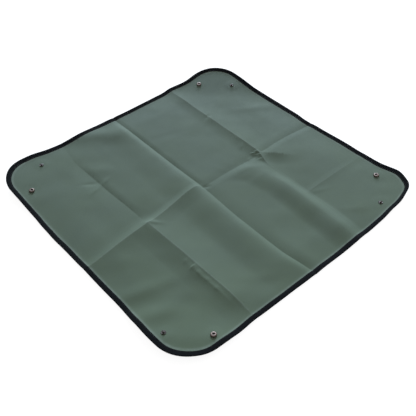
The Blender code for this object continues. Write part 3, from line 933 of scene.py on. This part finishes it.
def socket_profile():
    """Socket: a domed ring with a rolled lip over the groove, and a pierced floor."""
    bottom = sheet_thickness + snap_gap
    top = bottom + socket_height
    groove_top, floor_top = top - socket_lip, bottom + socket_floor
    crown, side = socket_radius - socket_crown_inset, socket_radius - socket_side_inset
    hole = rivet_radius + hole_gap
    return rounded([(socket_bore, groove_top), (socket_bore, top), (crown, top),
                    (side, top - socket_side_drop), (socket_radius, bottom + socket_foot),
                    (socket_radius, bottom), (hole, bottom), (hole, floor_top), (groove_radius, floor_top),
                    (groove_radius, groove_top), (socket_bore, groove_top)], socket_rounding)[:-1]


def cap_profile():
    """Domed cap under the sheet, with the rivet that flares in the socket."""
    top = -snap_gap
    seat = sheet_thickness + snap_gap + socket_floor + snap_gap
    flare = rivet_radius + rivet_flare
    low = top - cap_height
    return rounded([(0, seat + flare_height), (flare, seat + flare_height), (flare, seat),
                    (rivet_radius, seat), (rivet_radius, top), (cap_radius, top),
                    (cap_radius, top - cap_edge_share * cap_height),
                    (cap_dome_share * cap_radius, low + cap_dome_rise_share * cap_height),
                    (cap_flat_share * cap_radius, low), (0, low)], cap_rounding)


def stud_profile():
    """Stud: a beaded base and a round hollow nub with a waist."""
    bottom = sheet_thickness + snap_gap
    base_top = bottom + stud_base_height
    top = base_top + nub_height
    floor_top = bottom + stud_floor
    hole = eyelet_post_radius + hole_gap
    ridge = [(share * stud_radius, base_top) for share in stud_ridge_shares]
    return rounded([(0, top), (nub_top_share * nub_head_radius, top),
                    (nub_head_radius, top - nub_shoulder_share * nub_height),
                    (nub_head_radius, base_top + nub_bulge_share * nub_height),
                    (nub_neck_radius, base_top + nub_waist_share * nub_height),
                    (nub_neck_radius + stud_bead, base_top),
                    (stud_groove_share * stud_radius, base_top - stud_bead), *ridge,
                    (stud_radius, base_top - stud_edge_share * stud_base_height),
                    (stud_radius, bottom), (hole, bottom), (hole, floor_top), (nub_chamber, floor_top),
                    (nub_chamber, top - nub_wall), (0, top - nub_wall)], stud_rounding)


def eyelet_profile():
    """Eyelet under the sheet, dished, with a post that flares in the stud."""
    top = -snap_gap
    bottom = top - eyelet_height
    seat = sheet_thickness + snap_gap + stud_floor + snap_gap
    flare = eyelet_post_radius + eyelet_flare
    ring = [(share * eyelet_radius, bottom) for share in eyelet_ring_shares]
    return rounded([(0, seat + flare_height), (flare, seat + flare_height), (flare, seat),
                    (eyelet_post_radius, seat), (eyelet_post_radius, top), (eyelet_radius, top),
                    (eyelet_radius, bottom + eyelet_edge), *ring,
                    (eyelet_dish_share * eyelet_radius, bottom + eyelet_dish), (0, bottom + eyelet_dish)],
                   eyelet_rounding)


def make_snaps(turn, copper, dark_copper, hole_shade, steel):
    """The two snap halves of a corner."""
    corner = corner_names[turn]
    # Studs and eyelets take the copper with a painted dark reflection
    rows = (("stud", "", stud_profile, [dark_copper], 0),
            ("stud", "_eyelet", eyelet_profile, [dark_copper], 0),
            # Inside the socket's bore and on its cap's rivet the hole's shade is painted
            ("socket", "", socket_profile, [copper, hole_shade], socket_bore + bore_edge),
            ("socket", "_cap", cap_profile, [copper, hole_shade], rivet_radius + rivet_flare))
    for kind, part, profile, metals, inside in rows:
        node = f"{corner}_{kind}{part}"
        piece = lathe("snap_" + node, profile(), snap_matrix(f"{corner}_{kind}"), metals, inside)
        dress_snap(piece, f"{corner}_{kind}_ear", node)
    node = corner + "_socket_spring"
    ring = wire_ring("snap_" + node, snap_matrix(corner + "_socket"), [steel])
    dress_snap(ring, corner + "_socket_ear", node)


def stand_in(solid):
    """Hides the solid that a piece stands in for."""
    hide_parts(solid)


def dress_snap(piece, body, node):
    """Makes a snap's piece move with its ear in place of its solid."""
    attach(piece, body)
    stand_in(node)


def new_material(name, colour, roughness, metallic=0.0):
    """A material with its shader node, and its node tree for more."""
    material = bpy.data.materials.new(name)
    material.use_nodes = True
    tree = material.node_tree
    shader = tree.nodes["Principled BSDF"]
    shader.inputs["Base Color"].default_value = (*colour, 1)
    shader.inputs["Roughness"].default_value = roughness
    shader.inputs["Metallic"].default_value = metallic
    return material, tree, shader


def math_node(tree, operation, first, second=None):
    """One sum on two values, each a socket or a number."""
    node = tree.nodes.new("ShaderNodeMath")
    node.operation = operation
    for socket, value in zip(node.inputs, (first, second)):
        if value is None:
            continue
        if isinstance(value, (int, float)):
            socket.default_value = value
        else:
            tree.links.new(value, socket)
    return node.outputs[0]


def scaled(tree, socket, factor):
    """A value times a number or another value."""
    return math_node(tree, "MULTIPLY", socket, factor)


def added(tree, first, second):
    """A value and a number or another value together."""
    return math_node(tree, "ADD", first, second)


def plan_sockets(tree):
    """The plan place's parts, from the meshes' own attribute."""
    place = tree.nodes.new("ShaderNodeAttribute")
    place.attribute_name = "plan"
    parts = tree.nodes.new("ShaderNodeSeparateXYZ")
    tree.links.new(place.outputs["Vector"], parts.inputs[0])
    return place.outputs["Vector"], parts.outputs[0], parts.outputs[1]


def noise_socket(tree, vector, scale, detail=2.0):
    """Noise over the plan."""
    node = tree.nodes.new("ShaderNodeTexNoise")
    node.inputs["Scale"].default_value = scale
    node.inputs["Detail"].default_value = detail
    tree.links.new(vector, node.inputs["Vector"])
    return node.outputs["Fac"]


def mix_colours(tree, share, first, second):
    """A colour between two, which are each a socket or a colour."""
    node = tree.nodes.new("ShaderNodeMix")
    node.data_type = "RGBA"
    tree.links.new(share, node.inputs["Factor"])
    for socket, value in ((node.inputs["A"], first), (node.inputs["B"], second)):
        if isinstance(value, tuple):
            socket.default_value = (*value, 1)
        else:
            tree.links.new(value, socket)
    return node.outputs["Result"]


def weave_socket(tree, across, along, pitch):
    """Height of a plain weave of a given pitch."""
    turns = 2 * pi / pitch
    warp_wave = math_node(tree, "SINE", scaled(tree, across, turns))
    weft_wave = math_node(tree, "SINE", scaled(tree, along, turns))
    return math_node(tree, "ABSOLUTE", scaled(tree, warp_wave, weft_wave))


def add_bump(tree, shader, height, distance, strength):
    """Feeds a height into the shader's normal."""
    bump = tree.nodes.new("ShaderNodeBump")
    bump.inputs["Distance"].default_value = distance
    bump.inputs["Strength"].default_value = strength
    tree.links.new(height, bump.inputs["Height"])
    tree.links.new(bump.outputs["Normal"], shader.inputs["Normal"])


def add_fine_bumps(tree, shader, scale, detail, depth, strength):
    """Gives a small piece bumps by its own coordinates, which it returns."""
    place = tree.nodes.new("ShaderNodeTexCoord").outputs["Object"]
    add_bump(tree, shader, noise_socket(tree, place, scale, detail), depth, strength)
    return place


def coated_cloth(name, dark, light, roughness, weave_strength):
    """Grey-green coated cloth: faint sheen, fine weave, faint blotches, a painted sheen towards +X and +Y,
    and painted highlights.
    """
    material, tree, shader = new_material(name, dark, roughness)
    vector, across, along = plan_sockets(tree)
    broad = noise_socket(tree, vector, blotch_scale)
    fine = noise_socket(tree, vector, fine_blotch_scale, fine_detail)
    blotches = added(tree, scaled(tree, broad, blotch_share), scaled(tree, fine, fine_blotch_share))
    # Painted sheen: a share that grows towards +X and +Y and turns the cloth bluer and lighter there
    painted_sheen = added(tree, scaled(tree, added(tree, across, along), painted_sheen_drift), painted_sheen_start)
    colour = mix_colours(tree, added(tree, blotches, painted_sheen), dark, light)
    # Painted highlights beside the binding and on the ridge creases, broken up by noise
    wear = tree.nodes.new("ShaderNodeAttribute")
    wear.attribute_name = "wear"
    highlight_breaks = math_node(tree, "SUBTRACT", noise_socket(tree, vector, highlight_break_scale, fine_detail), highlight_break_loss)
    pale = scaled(tree, wear.outputs["Fac"], math_node(tree, "MINIMUM", highlight_breaks, highlight_break_most))
    colour = mix_colours(tree, pale, colour, painted_highlight_colour)
    tree.links.new(colour, shader.inputs["Base Color"])
    weave = weave_socket(tree, across, along, weave_pitch)
    grain = noise_socket(tree, vector, grain_scale)
    height = added(tree, scaled(tree, weave, weave_share), scaled(tree, grain, grain_share))
    add_bump(tree, shader, height, weave_depth, weave_strength)
    gloss = added(tree, scaled(tree, fine, gloss_spread), roughness - gloss_spread / 2)
    tree.links.new(gloss, shader.inputs["Roughness"])
    shader.inputs["Specular IOR Level"].default_value = cloth_specular
    return material


def tape_cloth():
    """Black woven tape with fine ribs across it."""
    material, tree, shader = new_material("binding_cloth", tape_colour, tape_roughness)
    _, along, across = plan_sockets(tree)
    add_bump(tree, shader, weave_socket(tree, across, along, rib_pitch), rib_depth, rib_strength)
    shader.inputs["Specular IOR Level"].default_value = tape_specular
    return material


def thread():
    """Black sewing thread."""
    material, tree, shader = new_material("thread", thread_colour, thread_roughness)
    add_fine_bumps(tree, shader, *twist)
    return material


def antique_copper(name, dark, light):
    """Copper plating gone brown, rubbed bright in places; with darker colours it also makes painted shade and
    a painted dark reflection.
    """
    material, tree, shader = new_material(name, light, copper_roughness, 1.0)
    place = add_fine_bumps(tree, shader, *pits)
    tarnish = noise_socket(tree, place, tarnish_scale, fine_detail)
    tree.links.new(mix_colours(tree, tarnish, dark, light), shader.inputs["Base Color"])
    return material


def spring_wire():
    """Plain steel wire."""
    material, tree, shader = new_material("spring_wire", wire_colour, wire_roughness, 1.0)
    add_fine_bumps(tree, shader, *scratches)
    return material


def make_base(cloth):
    """The middle of the sheet, which the tray stands on."""
    base = shell("mat_base", *base_grid(), cloth)
    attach(base, "base")
    stand_in("base_sheet")


def make_wall(turn, cloth, binding):
    """One side of the sheet and its binding."""
    name = wall_names[turn]
    edge = plan(*turned(np.full(len(wall_lines(turn)), half_side), wall_lines(turn), turn))
    places = turned(*edge, (4 - turn) % 4)[1]
    places = np.concatenate([[-wall_end], places, [wall_end]])
    rim = tape(f"mat_{name}_binding", places, turn, binding)
    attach(rim, name + "_wall")
    stand_in(name + "_wall_binding")
    wall = shell(f"mat_{name}_wall", *wall_grid(turn), cloth)
    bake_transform(wall)
    stand_in(name + "_wall_sheet")


def make_ear(turn, kind, cloth, binding):
    """Half of a corner of the sheet and its binding."""
    node = f"{corner_names[turn]}_{kind}_ear"
    rim = tape(f"mat_{node}_binding", corner_places(kind), turn, binding)
    ear = shell(f"mat_{node}", *ear_grid(turn, kind), cloth)
    for piece, solid, slot in ((rim, node + "_binding", "binding_tape"), (ear, node, "coated_sheet")):
        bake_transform(piece)
        stand_in(solid)


def seen_share(tree):
    """1 for rays from the camera, also by a mirror or through glass, and 0 for light on the mat."""
    path = tree.nodes.new("ShaderNodeLightPath")
    seen = math_node(tree, "MAXIMUM", path.outputs["Is Camera Ray"], path.outputs["Is Glossy Ray"])
    return math_node(tree, "MAXIMUM", seen, path.outputs["Is Transmission Ray"])


def make_floor():
    """The pale ground, which keeps the mat's shadow and shows white to the camera."""
    mesh = bmesh.new()
    bmesh.ops.create_grid(mesh, x_segments=1, y_segments=1, size=floor_size)
    data = finished(mesh, bpy.data.meshes.new("ground"))
    material = bpy.data.materials.new("ground")
    material.use_nodes = True
    tree = material.node_tree
    tree.nodes.clear()
    out = tree.nodes.new("ShaderNodeOutputMaterial")
    diffuse = tree.nodes.new("ShaderNodeBsdfDiffuse")
    diffuse.inputs["Color"].default_value = (*floor_colour, 1)
    glow = tree.nodes.new("ShaderNodeEmission")
    tree.links.new(scaled(tree, seen_share(tree), floor_glow), glow.inputs["Strength"])
    both = tree.nodes.new("ShaderNodeAddShader")
    tree.links.new(diffuse.outputs[0], both.inputs[0])
    tree.links.new(glow.outputs[0], both.inputs[1])
    tree.links.new(both.outputs[0], out.inputs["Surface"])
    ground = link("ground", data, [material])
    ground.location.z = -floor_drop


def make_world():
    """White surroundings for the camera and for reflections, and a softer light on the mat."""
    world = bpy.data.worlds.new("studio")
    bpy.context.scene.world = world
    world.use_nodes = True
    tree = world.node_tree
    background = tree.nodes["Background"]
    background.inputs["Color"].default_value = (1, 1, 1, 1)
    strength = added(tree, scaled(tree, seen_share(tree), 1 - ambient), ambient)
    tree.links.new(strength, background.inputs["Strength"])


def add_lamp(data, place):
    """Puts a light at a place, aimed at the origin."""
    lamp = link(data.name, data)
    lamp.location = place
    lamp.rotation_euler = (-place).to_track_quat("-Z", "Y").to_euler()


def make_key_light():
    """Broad even light from low behind the mat, which makes its folds show."""
    data = bpy.data.lights.new("key", "SUN")
    data.angle = key_spread
    data.energy = key_strength
    data.color = key_colour
    way = Vector((cos(key_turn) * cos(key_height), sin(key_turn) * cos(key_height), sin(key_height)))
    add_lamp(data, key_distance * way)


def make_side_light():
    """A weak broad light over the right-hand side."""
    data = bpy.data.lights.new("side", "AREA")
    data.shape = "DISK"
    data.size = side_size
    data.energy = side_power
    add_lamp(data, side_place)


def make_camera():
    """The photograph's camera."""
    back = Vector((sin(camera_turn) * cos(camera_height), -cos(camera_turn) * cos(camera_height),
                   sin(camera_height)))
    right = Vector((cos(camera_turn), sin(camera_turn), 0))
    up = back.cross(right)
    rolled_right = right * cos(camera_roll) + up * sin(camera_roll)
    rolled_up = up * cos(camera_roll) - right * sin(camera_roll)
    data = bpy.data.cameras.new("camera")
    data.sensor_width = sensor_width
    data.lens = focal_length * sensor_width / photo_side
    camera = link("camera", data)
    axes = Matrix((rolled_right, rolled_up, back)).transposed().to_4x4()
    camera.matrix_world = Matrix.Translation(back * camera_distance + camera_aim) @ axes
    bpy.context.scene.camera = camera


def build():
    """Dresses the mat and lights it."""
    bpy.context.scene.view_settings.view_transform = "Standard"
    cloth = [coated_cloth("coated_face", face_dark, face_light, face_roughness, face_weave_strength),
             coated_cloth("coated_back", back_dark, back_light, back_roughness, back_weave_strength)]
    binding = [tape_cloth(), thread()]
    make_base(cloth)
    for turn in range(4):
        make_wall(turn, cloth, binding)
        for kind in ("stud", "socket"):
            make_ear(turn, kind, cloth, binding)
    copper = antique_copper("antique_copper", *copper_colours)
    # The copper again, darker, with a painted dark reflection for the studs and eyelets
    dark_copper = antique_copper("dark_copper", *painted_dark_reflection_colours)
    # Painted shade inside the socket's hole
    hole_shade = antique_copper("copper_oxide", *hole_shade_colours)
    steel = spring_wire()
    for turn in range(4):
        make_snaps(turn, copper, dark_copper, hole_shade, steel)
    make_floor()
    make_world()
    make_key_light()
    make_side_light()
    make_camera()


build()
